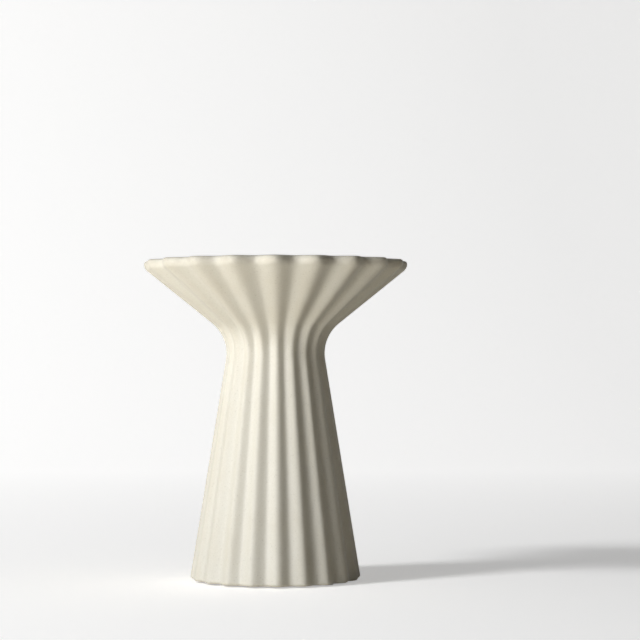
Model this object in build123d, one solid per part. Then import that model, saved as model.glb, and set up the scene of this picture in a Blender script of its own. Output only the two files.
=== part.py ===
from build123d import *
from math import acos, asin, atan2, cos, hypot, pi, sin
import os

# A fluted stoneware vase: a slender cone narrows to a waist, then opens into a wide fan-shaped mouth.
# Sizes are in millimetres and +Z is up. The origin is on the axis, at the height of the table.
# The wall's outline is given over the flute crests, and one crest faces the front, -Y.

# Outline of the vase
overall_height = 210.0  # table to the top of the lip
rim_diameter = 174.0  # widest point of the lip
waist_diameter = 65.0  # narrowest point, between the body and the mouth
mouth_height = 61.0  # narrowest point to the top of the lip
waist_bend_radius = 25.5  # bend of the outline that turns the body into the mouth
base_diameter = 112.0  # over the foot's rounded edge
foot_edge_radius = 2.0  # rounding between the body and the underside

# Flutes, from crest to valley
flute_count = 20
rim_flute_depth = 6.0
waist_flute_depth = 1.7
base_flute_depth = 3.0

# Wall and floor
wall_thickness = 5.0
lip_radius = 2.0  # rounding of the lip's top, on both sides of its flat
lip_flat = 1.0  # flat left along the top of the lip
lip_bend_radius = 6.0  # fuller rounding that leads from the mouth to the lip's widest point
floor_thickness = 7.0
floor_corner_radius = 9.0  # inner corner between the floor and the wall

# Underside
foot_ring_width = 12.0  # flat ring that carries the pads, inside the flute valleys
foot_recess_depth = 3.0
foot_recess_corner_radius = 2.0

# Stick-on pads
pad_count = 4
pad_thickness = 1.0
pad_edge_radius = 0.4  # rounding of the edge that meets the table
pad_margin = 1.5  # bare clay on either side of a pad

# How finely the wall's sections are spaced
bend_steps = 6
straight_shares = (0.04, 0.16, 0.5, 0.84, 0.96)

overrun = 1.0  # how far a cut passes the face that it opens

# Places that follow from the sizes above
waist_height = overall_height - mouth_height
lip_tilt = acos(lip_flat / 2 / lip_radius)
lip_height = overall_height - lip_radius * sin(lip_tilt)
foot_recess_radius = base_diameter / 2 - foot_edge_radius - base_flute_depth - foot_ring_width
floor_height = pad_thickness + foot_recess_depth + floor_thickness
pad_circle_radius = foot_recess_radius + foot_ring_width / 2
pad_radius = foot_ring_width / 2 - pad_margin

# Centres of the outline's bends, as (radius, height)
foot_centre = (base_diameter / 2 - foot_edge_radius, pad_thickness + foot_edge_radius)
waist_centre = (waist_diameter / 2 + waist_bend_radius, waist_height)
lip_bend_centre = (rim_diameter / 2 - lip_bend_radius, lip_height)
lip_centre = (rim_diameter / 2 - lip_radius, lip_height)


def straight_facing(lower_centre, lower_bend, upper_centre, upper_bend):
    """Angle above the horizontal that a straight wall faces, where it is tangent to two bends.

    A bend is positive where its centre lies inside the vase, and negative where it lies outside.
    """
    across = upper_centre[0] - lower_centre[0]
    up = upper_centre[1] - lower_centre[1]
    return asin((lower_bend - upper_bend) / hypot(across, up)) - atan2(across, up)


body_facing = straight_facing(foot_centre, foot_edge_radius, waist_centre, -waist_bend_radius)
mouth_facing = straight_facing(waist_centre, -waist_bend_radius, lip_bend_centre, lip_bend_radius)

# The same for the hollow's mouth, which runs from the inner waist to the inner half of the lip
inner_waist_bend = -waist_bend_radius - wall_thickness
inner_mouth_facing = straight_facing(waist_centre, inner_waist_bend, lip_centre, -lip_radius)


def bend_points(centre, bend, start_facing, end_facing):
    """Points round one bend of an outline, as (radius, height)."""
    points = []
    for step in range(bend_steps + 1):
        facing = start_facing + (end_facing - start_facing) * step / bend_steps
        points.append((centre[0] + bend * cos(facing), centre[1] + bend * sin(facing)))
    return points


def outline_points(bends):
    """Points of a whole outline: its bends, and the straight walls between them."""
    points = list(bends[0])
    for bend in bends[1:]:
        start = points[-1]
        end = bend[0]
        for share in straight_shares:
            points.append((start[0] + (end[0] - start[0]) * share, start[1] + (end[1] - start[1]) * share))
        points.extend(bend)
    return points


def flute_depth(height):
    """Depth of the flutes at a height: least at the waist, and growing evenly to the rim and the base."""
    if height > waist_height:
        reach_share = (height - waist_height) / mouth_height
        return waist_flute_depth + (rim_flute_depth - waist_flute_depth) * reach_share
    reach_share = (waist_height - height) / waist_height
    return waist_flute_depth + (base_flute_depth - waist_flute_depth) * reach_share


def fluted_section(crest_radius, height):
    """One level section of the wall: a closed wave, with one smooth swell for each flute crest."""
    half_pitch = pi / flute_count
    valley_radius = crest_radius - flute_depth(height)
    swells = []
    for number in range(flute_count):
        crest = number * 2 * half_pitch - pi / 2
        left = crest - half_pitch
        right = crest + half_pitch
        points = [
            (valley_radius * cos(left), valley_radius * sin(left), height),
            (crest_radius * cos(crest), crest_radius * sin(crest), height),
            (valley_radius * cos(right), valley_radius * sin(right), height),
        ]
        swells.append(Spline(*points, tangents=[(-sin(left), cos(left), 0), (-sin(right), cos(right), 0)]))
    return Face(Wire(swells))


def fluted_solid(points):
    """Solid whose fluted sections follow an outline."""
    return loft([fluted_section(radius, height) for radius, height in points])


def outer_form():
    """The vase's outside as a solid: foot edge, body, waist, mouth and the outer half of the lip."""
    foot = bend_points(foot_centre, foot_edge_radius, -pi / 2, body_facing)
    waist = bend_points(waist_centre, -waist_bend_radius, body_facing, mouth_facing)
    under_lip = bend_points(lip_bend_centre, lip_bend_radius, mouth_facing, 0)
    lip = bend_points(lip_centre, lip_radius, 0, lip_tilt)
    return fluted_solid(outline_points([foot, waist, under_lip]) + lip[1:])


def cavity_form():
    """The hollow: a wall's thickness inside the body and the waist, then out to the inner half of the lip."""
    corner_height = floor_height + floor_corner_radius
    inset = wall_thickness + floor_corner_radius - foot_edge_radius
    rise = corner_height - foot_centre[1]
    corner_radius = foot_centre[0] - (inset + rise * sin(body_facing)) / cos(body_facing)
    floor = bend_points((corner_radius, corner_height), floor_corner_radius, -pi / 2, body_facing)
    waist = bend_points(waist_centre, inner_waist_bend, body_facing, inner_mouth_facing)
    lip = bend_points(lip_centre, -lip_radius, inner_mouth_facing, -lip_tilt)
    return fluted_solid(outline_points([floor, waist, lip]))


def foot_recess():
    """The hollow under the vase that leaves the flat foot ring."""
    depth = foot_recess_depth + overrun
    recess = Cylinder(foot_recess_radius, depth, align=(Align.CENTER, Align.CENTER, Align.MIN))
    recess = fillet(recess.edges().sort_by(Axis.Z)[-1], foot_recess_corner_radius)
    return Pos(0, 0, pad_thickness - overrun) * recess


def vase_body():
    """The whole stoneware shell."""
    return outer_form() - cavity_form() - foot_recess()


def foot_pad():
    """One pad, standing on the table at the origin."""
    pad = Cylinder(pad_radius, pad_thickness, align=(Align.CENTER, Align.CENTER, Align.MIN))
    return fillet(pad.edges().sort_by(Axis.Z)[0], pad_edge_radius)


os.makedirs("parts", exist_ok=True)
export_step(vase_body(), "parts/vase_body.step")
pad_places = PolarLocations(pad_circle_radius, pad_count, start_angle=180 / pad_count)
for number, place in enumerate(pad_places, start=1):
    export_step(place * foot_pad(), f"parts/foot_pad_{number}.step")
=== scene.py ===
from math import acos, asin, atan2, cos, hypot, pi, radians, sin

import bpy
import numpy as np
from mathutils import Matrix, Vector


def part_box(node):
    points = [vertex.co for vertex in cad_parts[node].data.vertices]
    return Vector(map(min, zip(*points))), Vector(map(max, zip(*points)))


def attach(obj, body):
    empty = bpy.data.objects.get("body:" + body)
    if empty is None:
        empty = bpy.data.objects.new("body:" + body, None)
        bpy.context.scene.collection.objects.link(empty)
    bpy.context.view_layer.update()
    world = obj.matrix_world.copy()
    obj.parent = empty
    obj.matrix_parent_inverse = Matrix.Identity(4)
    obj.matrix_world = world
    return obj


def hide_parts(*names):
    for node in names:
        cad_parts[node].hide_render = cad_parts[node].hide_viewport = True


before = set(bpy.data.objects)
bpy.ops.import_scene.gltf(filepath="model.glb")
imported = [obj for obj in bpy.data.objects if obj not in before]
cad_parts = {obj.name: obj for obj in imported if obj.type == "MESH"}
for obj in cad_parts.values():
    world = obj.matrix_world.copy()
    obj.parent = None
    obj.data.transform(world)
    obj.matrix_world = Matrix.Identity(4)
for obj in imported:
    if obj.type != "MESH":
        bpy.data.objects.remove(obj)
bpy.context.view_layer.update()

# A fluted stoneware vase with a matt cream glaze, on four milky foot pads. All lengths are in metres.

# Outline of the wall, over the flute crests, as in the solid
OVERALL_HEIGHT = 0.210
MOUTH_HEIGHT = 0.061
RIM_RADIUS = 0.087
WAIST_RADIUS = 0.0325
WAIST_BEND = 0.0255
BASE_RADIUS = 0.056
FOOT_EDGE = 0.002
WALL = 0.005
LIP_RADIUS = 0.002
LIP_FLAT = 0.001
LIP_BEND = 0.006
FOOT_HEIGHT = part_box("vase_body")[0].z
FLOOR_THICKNESS = 0.007
FLOOR_CORNER = 0.009

# Flutes, from crest to valley
FLUTE_COUNT = 20
RIM_FLUTE_DEPTH = 0.0060
WAIST_FLUTE_DEPTH = 0.0017
BASE_FLUTE_DEPTH = 0.0030

# Underside
FOOT_RING_WIDTH = 0.012
RECESS_DEPTH = 0.003
RECESS_CORNER = 0.002
RING_EDGE = 0.0004

# Hand-made unevenness of the casting
WANDER_SEED = 21
WALL_WANDER = 0.00025  # how far the wall sinks inwards at most
LIP_DROOP = 0.0006  # how far the lip sinks at most
DEPTH_WANDER_SHARE = 0.05  # of a flute's depth, either way
CREST_WANDER = radians(0.25)  # turn of a crest about the axis, either way
FLUTE_DRIFT = radians(-2.0)  # turn of the flutes from the waist to the rim

COLUMNS_PER_FLUTE = 16

# Camera, from the photograph's perspective
CAMERA_DISTANCE = 1.340
CAMERA_HEIGHT = 0.141
CAMERA_AZIMUTH = radians(-1.7)
CAMERA_LENS = 114.2
AIM_RIGHT = 0.0293
AIM_HEIGHT = 0.171

# Key light: a soft box on the left, which lays the shadow on the floor
KEY_AZIMUTH = radians(61)
KEY_ELEVATION = radians(35)
KEY_DISTANCE = 3.0
KEY_SIZE = (0.6, 0.6)
KEY_POWER = 55.0

# Strip light: low and nearer to the camera, which reaches under the mouth
STRIP_AZIMUTH = radians(44)
STRIP_ELEVATION = radians(-1)
STRIP_DISTANCE = 1.6
STRIP_SIZE = (1.0, 0.16)
STRIP_POWER = 17.5

LAMP_WHITE = (0.93, 0.955, 1.0)

# Bounce: two warm white cards that lie on the floor, in front of the vase and to its sides
LEFT_CARD_PLACE = (-0.45, -0.40, 0.004)
LEFT_CARD_POWER = 2.3
RIGHT_CARD_PLACE = (0.42, -0.30, 0.004)
RIGHT_CARD_POWER = 0.24
CARD_SIZE = (0.6, 0.6)
CARD_WARM = (1.0, 0.935, 0.82)

# Studio sweep: a floor that curves up into a back wall
SWEEP_HALF_WIDTH = 6.0
SWEEP_FRONT = -5.0
SWEEP_BACK = 4.5
SWEEP_CURVE = 3.0
SWEEP_TOP = 6.0

# Its paper, as other light paths and as the camera see it
PAPER_PLAIN = (0.86, 0.795, 0.66)
PAPER_BRIGHT = (0.98, 0.955, 0.915)

# Glow that the camera sees on it: a level that grows to the back, and a part that fades to the right
GLOW_DEPTHS = (0.0, 1.4)
GLOW_DEPTH_LEVELS = (0.42, 0.74)
GLOW_SIDES = (-0.7, 0.7)
GLOW_SIDE_LEVELS = (0.07, -0.07)

# Room around it, as other light paths and as the camera see it
ROOM_DIM = (1, 0.99, 0.97)
ROOM_DIM_LEVEL = 0.01
ROOM_WHITE = (1, 1, 0.995)
ROOM_WHITE_LEVEL = 0.9

# Places that follow from the sizes above
LIP_TILT = acos(LIP_FLAT / 2 / LIP_RADIUS)
LIP_HEIGHT = OVERALL_HEIGHT - LIP_RADIUS * sin(LIP_TILT)
WAIST_HEIGHT = OVERALL_HEIGHT - MOUTH_HEIGHT
RECESS_RADIUS = BASE_RADIUS - FOOT_EDGE - BASE_FLUTE_DEPTH - FOOT_RING_WIDTH
FLOOR_HEIGHT = FOOT_HEIGHT + RECESS_DEPTH + FLOOR_THICKNESS
FOOT_CENTRE = (BASE_RADIUS - FOOT_EDGE, FOOT_HEIGHT + FOOT_EDGE)
WAIST_CENTRE = (WAIST_RADIUS + WAIST_BEND, WAIST_HEIGHT)
LIP_BEND_CENTRE = (RIM_RADIUS - LIP_BEND, LIP_HEIGHT)
LIP_CENTRE = (RIM_RADIUS - LIP_RADIUS, LIP_HEIGHT)


def straight_facing(lower, lower_bend, upper, upper_bend):
    """Angle above the horizontal that a straight wall faces between two bends it is tangent to."""
    across = upper[0] - lower[0]
    up = upper[1] - lower[1]
    return asin((lower_bend - upper_bend) / hypot(across, up)) - atan2(across, up)


def bend(centre, radius, start, end, steps):
    """Points round one bend of the outline, as (radius, height)."""
    angles = np.linspace(start, end, steps + 1)
    return np.column_stack([centre[0] + radius * np.cos(angles), centre[1] + radius * np.sin(angles)])


def straight(start, end, steps):
    """Points between two points of the outline, without its ends."""
    shares = np.linspace(0, 1, steps + 1)[1:-1, None]
    return np.asarray(start) + (np.asarray(end) - np.asarray(start)) * shares


def spread(share, count):
    """One share for each of a number of points: the same for all, or growing from a first to a last."""
    if isinstance(share, tuple):
        return np.linspace(*share, count + 2)[1:-1]
    return np.full(count, float(share))


def wall_outline():
    """The closed outline of the wall over a crest, from the underside's centre round to the floor's centre.

    Returns the points, how much of the flutes each point takes, how bare of glaze it is, and how thin its
    glaze is. The last also marks where the lip is darkened as painted shade.
    """
    body = straight_facing(FOOT_CENTRE, FOOT_EDGE, WAIST_CENTRE, -WAIST_BEND)
    mouth = straight_facing(WAIST_CENTRE, -WAIST_BEND, LIP_BEND_CENTRE, LIP_BEND)
    inner_mouth = straight_facing(WAIST_CENTRE, -WAIST_BEND - WALL, LIP_CENTRE, -LIP_RADIUS)
    corner_height = FLOOR_HEIGHT + FLOOR_CORNER
    inset = WALL + FLOOR_CORNER - FOOT_EDGE
    rise = corner_height - FOOT_CENTRE[1]
    corner = (FOOT_CENTRE[0] - (inset + rise * sin(body)) / cos(body), corner_height)
    recess_top = FOOT_HEIGHT + RECESS_DEPTH

    recess = bend((RECESS_RADIUS - RECESS_CORNER, recess_top - RECESS_CORNER), RECESS_CORNER, pi / 2, 0, 6)
    ring_edge = bend((RECESS_RADIUS + RING_EDGE, FOOT_HEIGHT + RING_EDGE), RING_EDGE, pi, 1.5 * pi, 4)
    foot = bend(FOOT_CENTRE, FOOT_EDGE, -pi / 2, body, 10)
    waist = bend(WAIST_CENTRE, -WAIST_BEND, body, mouth, 28)
    under_lip = bend(LIP_BEND_CENTRE, LIP_BEND, mouth, 0, 10)
    lip_outside = bend(LIP_CENTRE, LIP_RADIUS, 0, LIP_TILT, 8)[1:]
    lip_inside = bend(LIP_CENTRE, LIP_RADIUS, pi - LIP_TILT, inner_mouth + pi, 8)
    inner_waist = bend(WAIST_CENTRE, -WAIST_BEND - WALL, inner_mouth, body, 14)
    floor_corner = bend(corner, FLOOR_CORNER, body, -pi / 2, 8)

    # Each stretch has its points, then its shares of flutes, of bare clay and of thin glaze, the last also
    # painted shade on the lip
    stretches = [
        (straight((0, recess_top), recess[0], 6), 0, 1, 0),
        (recess, 0, 1, 0),
        (ring_edge, 0, 1, 0),
        (straight(ring_edge[-1], foot[0], 8), (0, 1), 1, 0),
        (foot, 1, 0, 0),
        (straight(foot[-1], waist[0], 56), 1, 0, 0),
        (waist, 1, 0, 0),
        (straight(waist[-1], under_lip[0], 32), 1, 0, 0),
        (under_lip, 1, 0, (0, 1)),
        (lip_outside, 1, 0, 1),
        (straight(lip_outside[-1], lip_inside[0], 3), 1, 0, 1),
        (lip_inside, 1, 0, 1),
        (straight(lip_inside[-1], inner_waist[0], 16), 1, 0, 0),
        (inner_waist, 1, 0, 0),
        (straight(inner_waist[-1], floor_corner[0], 24), 1, 0, 0),
        (floor_corner, 1, 0, 0),
        (straight(floor_corner[-1], (0, FLOOR_HEIGHT), 6), (1, 0), 0, 0),
    ]
    points = []
    shares = []
    for stretch, *stretch_shares in stretches:
        points.append(stretch)
        shares.append(np.column_stack([spread(share, len(stretch)) for share in stretch_shares]))
    return np.concatenate(points), *np.concatenate(shares).T


def flute_depth(height):
    """Depth of the flutes at each height: least at the waist, and growing evenly to the rim and the base."""
    above = np.clip((height - WAIST_HEIGHT) / MOUTH_HEIGHT, 0, 1)
    below = np.clip((WAIST_HEIGHT - height) / WAIST_HEIGHT, 0, 1)
    rim = RIM_FLUTE_DEPTH - WAIST_FLUTE_DEPTH
    base = BASE_FLUTE_DEPTH - WAIST_FLUTE_DEPTH
    return WAIST_FLUTE_DEPTH + rim * above + base * below


def ripple(rng, angle, height, waves):
    """Smooth unevenness from 0 to 1, round the vase and slowly up it."""
    total = np.zeros(np.broadcast(angle, height).shape)
    for wave in waves:
        phase = rng.uniform(0, 2 * pi)
        climb = rng.uniform(-1, 1) * 2 * pi / OVERALL_HEIGHT
        total = total + np.cos(wave * angle + phase + climb * height)
    return 0.5 + 0.5 * total / len(waves)


def body_grid():
    """Places of the wall's grid of points, and the values that its glaze reads at each of them."""
    rng = np.random.default_rng(WANDER_SEED)
    outline, fluted, bare, thin_and_shaded = wall_outline()
    columns = FLUTE_COUNT * COLUMNS_PER_FLUTE
    turn = np.arange(columns) / COLUMNS_PER_FLUTE
    crest = np.round(turn)
    from_crest = np.abs(turn - crest) * 2
    valley = from_crest ** 2 * (3 - 2 * from_crest)
    flute = crest.astype(int) % FLUTE_COUNT
    depth_wander = 1 + DEPTH_WANDER_SHARE * rng.uniform(-1, 1, FLUTE_COUNT)
    crest_wander = CREST_WANDER * rng.uniform(-1, 1, FLUTE_COUNT)
    angle = turn * 2 * pi / FLUTE_COUNT - pi / 2 + crest_wander[flute] * (1 - valley)

    radius = outline[:, :1] - fluted[:, None] * flute_depth(outline[:, 1:]) * valley * depth_wander[flute]
    height = outline[:, 1:] + np.zeros(columns)
    rise = np.clip((height - WAIST_HEIGHT) / MOUTH_HEIGHT, 0, 1)
    angle = angle + FLUTE_DRIFT * rise
    wander = ripple(rng, angle, height, (2, 3, 5, 8))
    radius = radius - WALL_WANDER * wander * fluted[:, None]
    height = height - LIP_DROOP * rise ** 2 * ripple(rng, angle, 0, (1, 2, 3))
    places = np.stack([radius * np.cos(angle), radius * np.sin(angle), height], axis=-1)
    values = {"valley": valley, "bare": bare[:, None], "thin_and_shaded": thin_and_shaded[:, None]}
    return places, {name: np.broadcast_to(value, radius.shape).ravel() for name, value in values.items()}


def add_point_values(mesh, name, values):
    """Stores one number for each point of a mesh, for its material to read."""
    attribute = mesh.attributes.new(name, "FLOAT", "POINT")
    attribute.data.foreach_set("value", np.asarray(values, dtype=np.float32))


def make_body():
    """The stoneware wall as one closed skin of quads, with a fan of triangles at its two centres."""
    places, values = body_grid()
    rows, columns, _ = places.shape
    bottom = Vector((0, 0, FOOT_HEIGHT + RECESS_DEPTH))
    floor = Vector((0, 0, FLOOR_HEIGHT))
    points = [*places.reshape(-1, 3).tolist(), tuple(bottom), tuple(floor)]
    faces = []
    for row in range(rows - 1):
        for column in range(columns):
            beside = (column + 1) % columns
            low = row * columns
            high = low + columns
            faces.append((low + column, low + beside, high + beside, high + column))
    last = (rows - 1) * columns
    for column in range(columns):
        beside = (column + 1) % columns
        faces.append((rows * columns, beside, column))
        faces.append((rows * columns + 1, last + column, last + beside))
    mesh = bpy.data.meshes.new("stoneware_wall")
    mesh.from_pydata(points, [], faces)
    mesh.polygons.foreach_set("use_smooth", [True] * len(mesh.polygons))
    # What the two centres take, the underside's first
    centre_values = {"valley": (0.5, 0.5), "bare": (1, 0), "thin_and_shaded": (0, 0)}
    for name, value in values.items():
        add_point_values(mesh, name, [*value, *centre_values[name]])
    mesh.update()
    body = bpy.data.objects.new("stoneware_wall", mesh)
    bpy.context.collection.objects.link(body)
    return body


class Nodes:
    """Shorthand for building one material's nodes."""

    # Places of a mix node's two colours and of its result among its sockets
    FIRST_COLOUR = 6
    SECOND_COLOUR = 7
    MIXED_COLOUR = 2

    def __init__(self, name):
        self.material = bpy.data.materials.new(name)
        self.material.use_nodes = True
        self.tree = self.material.node_tree
        self.shader = self.tree.nodes["Principled BSDF"]
        self.place = self.tree.nodes.new("ShaderNodeTexCoord").outputs["Object"]

    def link(self, source, target):
        self.tree.links.new(source, target)

    def noise(self, scale, detail=2.0, roughness=0.5):
        node = self.tree.nodes.new("ShaderNodeTexNoise")
        node.inputs["Scale"].default_value = scale
        node.inputs["Detail"].default_value = detail
        node.inputs["Roughness"].default_value = roughness
        self.link(self.place, node.inputs["Vector"])
        return node.outputs["Fac"]

    def specks(self, scale):
        node = self.tree.nodes.new("ShaderNodeTexVoronoi")
        node.inputs["Scale"].default_value = scale
        self.link(self.place, node.inputs["Vector"])
        return node.outputs["Distance"], node.outputs["Color"]

    def value(self, name):
        node = self.tree.nodes.new("ShaderNodeAttribute")
        node.attribute_name = name
        return node.outputs["Fac"]

    def ramp(self, source, low, high, low_out=0.0, high_out=1.0):
        node = self.tree.nodes.new("ShaderNodeMapRange")
        node.interpolation_type = "SMOOTHSTEP"
        node.inputs["From Min"].default_value = low
        node.inputs["From Max"].default_value = high
        node.inputs["To Min"].default_value = low_out
        node.inputs["To Max"].default_value = high_out
        self.link(source, node.inputs["Value"])
        return node.outputs["Result"]

    def math(self, operation, first, second):
        node = self.tree.nodes.new("ShaderNodeMath")
        node.operation = operation
        for socket, value in zip(node.inputs, (first, second)):
            if isinstance(value, (int, float)):
                socket.default_value = value
            else:
                self.link(value, socket)
        return node.outputs["Value"]

    def mix(self, factor, first, second):
        node = self.tree.nodes.new("ShaderNodeMix")
        node.data_type = "RGBA"
        self.link(factor, node.inputs["Factor"])
        for number, colour in ((self.FIRST_COLOUR, first), (self.SECOND_COLOUR, second)):
            if isinstance(colour, tuple):
                node.inputs[number].default_value = (*colour, 1)
            else:
                self.link(colour, node.inputs[number])
        return node.outputs[self.MIXED_COLOUR]

    def bump(self, height, strength, distance, normal=None):
        node = self.tree.nodes.new("ShaderNodeBump")
        node.inputs["Strength"].default_value = strength
        node.inputs["Distance"].default_value = distance
        self.link(height, node.inputs["Height"])
        if normal is not None:
            self.link(normal, node.inputs["Normal"])
        return node.outputs["Normal"]


def glaze_material():
    """Matt cream glaze, pooled in the flutes and thin on the lip, over a bare clay foot. The lip's brown is
    partly thin glaze and partly painted shade.

    The scale of a noise is about the number of its swells in a metre.
    """
    nodes = Nodes("matt_cream_glaze")
    cream = (0.600, 0.573, 0.494)
    warm_cream = (0.572, 0.536, 0.445)
    pooled_cream = (0.610, 0.588, 0.518)
    sandy_cream = (0.470, 0.430, 0.345)
    thin_glaze_and_shade_brown = (0.400, 0.365, 0.290)
    speck_brown = (0.290, 0.248, 0.190)
    clay = (0.560, 0.455, 0.335)
    clay_grit = (0.360, 0.270, 0.185)
    cloud_share = 0.55
    pool_share = 0.5
    sand_share = 0.2
    speck_share = 0.2
    grit_share = 0.7
    ragged_share = 0.3
    bare_roughness = 0.9

    valley = nodes.value("valley")
    bare = nodes.value("bare")
    clouds = nodes.ramp(nodes.noise(38, detail=4), 0.35, 0.7)
    colour = nodes.mix(nodes.math("MULTIPLY", clouds, cloud_share), cream, warm_cream)
    pooling = nodes.math("MULTIPLY", nodes.ramp(valley, 0.35, 1.0), pool_share)
    colour = nodes.mix(pooling, colour, pooled_cream)
    lip_wear_and_shade = nodes.ramp(nodes.noise(260, detail=4), 0.3, 0.7, 0.2, 0.5)
    # Painted shade: the lip is darkened to brown, partly for its thinner glaze and partly in place of the
    # shade that falls on its top
    colour = nodes.mix(nodes.math("MULTIPLY", nodes.value("thin_and_shaded"), lip_wear_and_shade), colour, thin_glaze_and_shade_brown)
    sand = nodes.ramp(nodes.noise(1000, detail=3, roughness=0.6), 0.35, 0.65)
    colour = nodes.mix(nodes.math("MULTIPLY", sand, sand_share), colour, sandy_cream)
    distance, pick = nodes.specks(520)
    chosen = nodes.ramp(pick, 0.55, 0.75)
    dots = nodes.ramp(distance, 0.12, 0.34, 1.0, 0.0)
    speckle = nodes.math("MULTIPLY", nodes.math("MULTIPLY", dots, chosen), speck_share)
    colour = nodes.mix(speckle, colour, speck_brown)
    grit = nodes.math("MULTIPLY", nodes.ramp(nodes.noise(900, detail=2), 0.5, 0.7), grit_share)
    clay_colour = nodes.mix(grit, clay, clay_grit)
    ragged = nodes.math("MULTIPLY", nodes.noise(220), ragged_share)
    bare_edge = nodes.ramp(nodes.math("ADD", bare, ragged), 0.45, 0.85)
    colour = nodes.mix(bare_edge, colour, clay_colour)
    nodes.link(colour, nodes.shader.inputs["Base Color"])

    matt = nodes.ramp(nodes.noise(160, detail=5), 0.3, 0.7, 0.5, 0.64)
    dry = nodes.math("MULTIPLY", bare_edge, bare_roughness)
    nodes.link(nodes.math("MAXIMUM", matt, dry), nodes.shader.inputs["Roughness"])
    nodes.shader.inputs["Specular IOR Level"].default_value = 0.4

    swell = nodes.bump(nodes.noise(120, detail=3), 0.25, 0.0006)
    grain = nodes.bump(nodes.noise(1500, detail=3, roughness=0.6), 0.3, 0.00012, swell)
    pits = nodes.bump(nodes.ramp(distance, 0.05, 0.3), 0.2, 0.0001, grain)
    nodes.link(pits, nodes.shader.inputs["Normal"])
    return nodes.material


def pad_material():
    """Milky silicone with a faint haze on its skin."""
    nodes = Nodes("milky_silicone")
    milky = (0.700, 0.690, 0.650)
    hazy_white = (0.780, 0.775, 0.750)
    haze = nodes.ramp(nodes.noise(700, detail=4), 0.35, 0.7)
    nodes.link(nodes.mix(haze, milky, hazy_white), nodes.shader.inputs["Base Color"])
    nodes.link(nodes.ramp(nodes.noise(900), 0.3, 0.7, 0.35, 0.55), nodes.shader.inputs["Roughness"])
    nodes.link(nodes.bump(nodes.noise(1600, detail=3), 0.2, 0.00008), nodes.shader.inputs["Normal"])
    nodes.shader.inputs["Subsurface Weight"].default_value = 0.25
    nodes.shader.inputs["Subsurface Radius"].default_value = (0.0012, 0.0011, 0.0009)
    nodes.shader.inputs["Subsurface Scale"].default_value = 1.0
    return nodes.material


def seen_directly(tree):
    """1 for what the camera sees itself, in a reflection or through glass, and 0 for other light paths."""
    path = tree.nodes.new("ShaderNodeLightPath")
    total = path.outputs["Is Camera Ray"]
    for name in ("Is Glossy Ray", "Is Transmission Ray"):
        node = tree.nodes.new("ShaderNodeMath")
        node.operation = "MAXIMUM"
        tree.links.new(total, node.inputs[0])
        tree.links.new(path.outputs[name], node.inputs[1])
        total = node.outputs[0]
    return total


def sweep_material():
    """White paper that keeps shadows, and looks nearly white to the camera."""
    material = bpy.data.materials.new("studio_paper")
    material.use_nodes = True
    tree = material.node_tree
    tree.nodes.remove(tree.nodes["Principled BSDF"])
    plain = tree.nodes.new("ShaderNodeBsdfDiffuse")
    plain.inputs["Color"].default_value = (*PAPER_PLAIN, 1)
    bright = tree.nodes.new("ShaderNodeBsdfDiffuse")
    bright.inputs["Color"].default_value = (*PAPER_BRIGHT, 1)
    glow = tree.nodes.new("ShaderNodeEmission")
    place = tree.nodes.new("ShaderNodeSeparateXYZ")
    tree.links.new(tree.nodes.new("ShaderNodeTexCoord").outputs["Object"], place.inputs[0])
    total = tree.nodes.new("ShaderNodeMath")
    fades = (("Y", GLOW_DEPTHS, GLOW_DEPTH_LEVELS), ("X", GLOW_SIDES, GLOW_SIDE_LEVELS))
    for socket, (axis, ends, levels) in zip(total.inputs, fades):
        fade = tree.nodes.new("ShaderNodeMapRange")
        fade.inputs["From Min"].default_value, fade.inputs["From Max"].default_value = ends
        fade.inputs["To Min"].default_value, fade.inputs["To Max"].default_value = levels
        tree.links.new(place.outputs[axis], fade.inputs["Value"])
        tree.links.new(fade.outputs["Result"], socket)
    tree.links.new(total.outputs[0], glow.inputs["Strength"])
    both = tree.nodes.new("ShaderNodeAddShader")
    choose = tree.nodes.new("ShaderNodeMixShader")
    tree.links.new(bright.outputs[0], both.inputs[0])
    tree.links.new(glow.outputs[0], both.inputs[1])
    tree.links.new(seen_directly(tree), choose.inputs[0])
    tree.links.new(plain.outputs[0], choose.inputs[1])
    tree.links.new(both.outputs[0], choose.inputs[2])
    tree.links.new(choose.outputs[0], tree.nodes["Material Output"].inputs["Surface"])
    return material


def make_sweep():
    """A floor that curves up into a back wall."""
    curve = bend((SWEEP_BACK - SWEEP_CURVE, SWEEP_CURVE), SWEEP_CURVE, -pi / 2, 0, 24)
    profile = [(SWEEP_FRONT, 0), *curve.tolist(), (SWEEP_BACK, SWEEP_TOP)]
    points = []
    for depth, height in profile:
        points.append((-SWEEP_HALF_WIDTH, depth, height))
        points.append((SWEEP_HALF_WIDTH, depth, height))
    faces = []
    for step in range(len(profile) - 1):
        left = 2 * step
        faces.append((left, left + 1, left + 3, left + 2))
    mesh = bpy.data.meshes.new("studio_sweep")
    mesh.from_pydata(points, [], faces)
    mesh.polygons.foreach_set("use_smooth", [True] * len(mesh.polygons))
    mesh.materials.append(sweep_material())
    sweep = bpy.data.objects.new("studio_sweep", mesh)
    bpy.context.collection.objects.link(sweep)


def make_world():
    """A dim room, which looks white where the camera sees it directly."""
    world = bpy.data.worlds.new("studio")
    bpy.context.scene.world = world
    world.use_nodes = True
    tree = world.node_tree
    tree.nodes.clear()
    dim = tree.nodes.new("ShaderNodeBackground")
    dim.inputs["Color"].default_value = (*ROOM_DIM, 1)
    dim.inputs["Strength"].default_value = ROOM_DIM_LEVEL
    white = tree.nodes.new("ShaderNodeBackground")
    white.inputs["Color"].default_value = (*ROOM_WHITE, 1)
    white.inputs["Strength"].default_value = ROOM_WHITE_LEVEL
    choose = tree.nodes.new("ShaderNodeMixShader")
    output = tree.nodes.new("ShaderNodeOutputWorld")
    tree.links.new(seen_directly(tree), choose.inputs[0])
    tree.links.new(dim.outputs[0], choose.inputs[1])
    tree.links.new(white.outputs[0], choose.inputs[2])
    tree.links.new(choose.outputs[0], output.inputs["Surface"])


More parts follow.
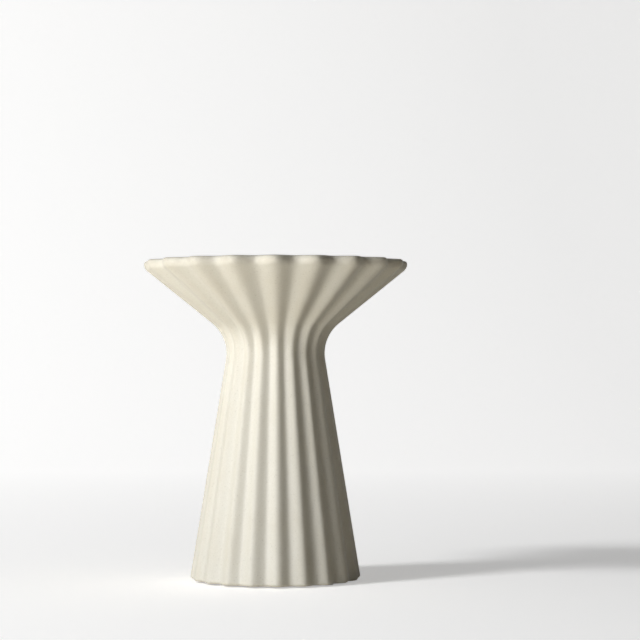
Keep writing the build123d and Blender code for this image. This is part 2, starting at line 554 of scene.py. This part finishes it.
def make_light(name, place, aim, size, power, colour):
    """One soft box, out of the camera's sight."""
    light = bpy.data.lights.new(name, "AREA")
    light.shape = "RECTANGLE"
    light.size, light.size_y = size
    light.energy = power
    light.color = colour
    lamp = bpy.data.objects.new(name, light)
    lamp.location = place
    lamp.rotation_euler = (aim - place).to_track_quat("-Z", "Y").to_euler()
    lamp.visible_camera = False
    bpy.context.collection.objects.link(lamp)


def make_lights():
    """Two soft boxes aimed at the vase, their azimuths counted to the left from its front, and two cards."""
    aim = Vector((0, 0, OVERALL_HEIGHT / 2))
    for name, azimuth, elevation, distance, size, power in (
        ("key", KEY_AZIMUTH, KEY_ELEVATION, KEY_DISTANCE, KEY_SIZE, KEY_POWER),
        ("strip", STRIP_AZIMUTH, STRIP_ELEVATION, STRIP_DISTANCE, STRIP_SIZE, STRIP_POWER),
    ):
        away = Vector((-sin(azimuth) * cos(elevation), -cos(azimuth) * cos(elevation), sin(elevation)))
        make_light(name, aim + away * distance, aim, size, power, LAMP_WHITE)
    for name, card, power in (
        ("left_card", Vector(LEFT_CARD_PLACE), LEFT_CARD_POWER),
        ("right_card", Vector(RIGHT_CARD_PLACE), RIGHT_CARD_POWER),
    ):
        make_light(name, card, card + Vector((0, 0, 1)), CARD_SIZE, power, CARD_WARM)


def make_camera():
    """The photograph's camera: level with the upper body, looking up by about a degree."""
    camera = bpy.data.objects.new("camera", bpy.data.cameras.new("camera"))
    camera.data.lens = CAMERA_LENS
    ahead = Vector((-sin(CAMERA_AZIMUTH), cos(CAMERA_AZIMUTH), 0))
    right = Vector((ahead.y, -ahead.x, 0))
    camera.location = -ahead * CAMERA_DISTANCE + Vector((0, 0, CAMERA_HEIGHT))
    aim = right * AIM_RIGHT + Vector((0, 0, AIM_HEIGHT))
    camera.rotation_euler = (aim - camera.location).to_track_quat("-Z", "Y").to_euler()
    bpy.context.collection.objects.link(camera)
    bpy.context.scene.camera = camera


def dress():
    """Puts the glazed wall over its solid and gives the foot pads their finish."""
    body = make_body()
    body.data.materials.append(glaze_material())
    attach(body, "root")
    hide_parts("vase_body")
    silicone = pad_material()
    for name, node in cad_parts.items():
        if name.startswith("foot_pad"):
            for slot in node.material_slots:
                slot.material = silicone


bpy.context.scene.view_settings.view_transform = "Standard"
dress()
make_sweep()
make_world()
make_lights()
make_camera()
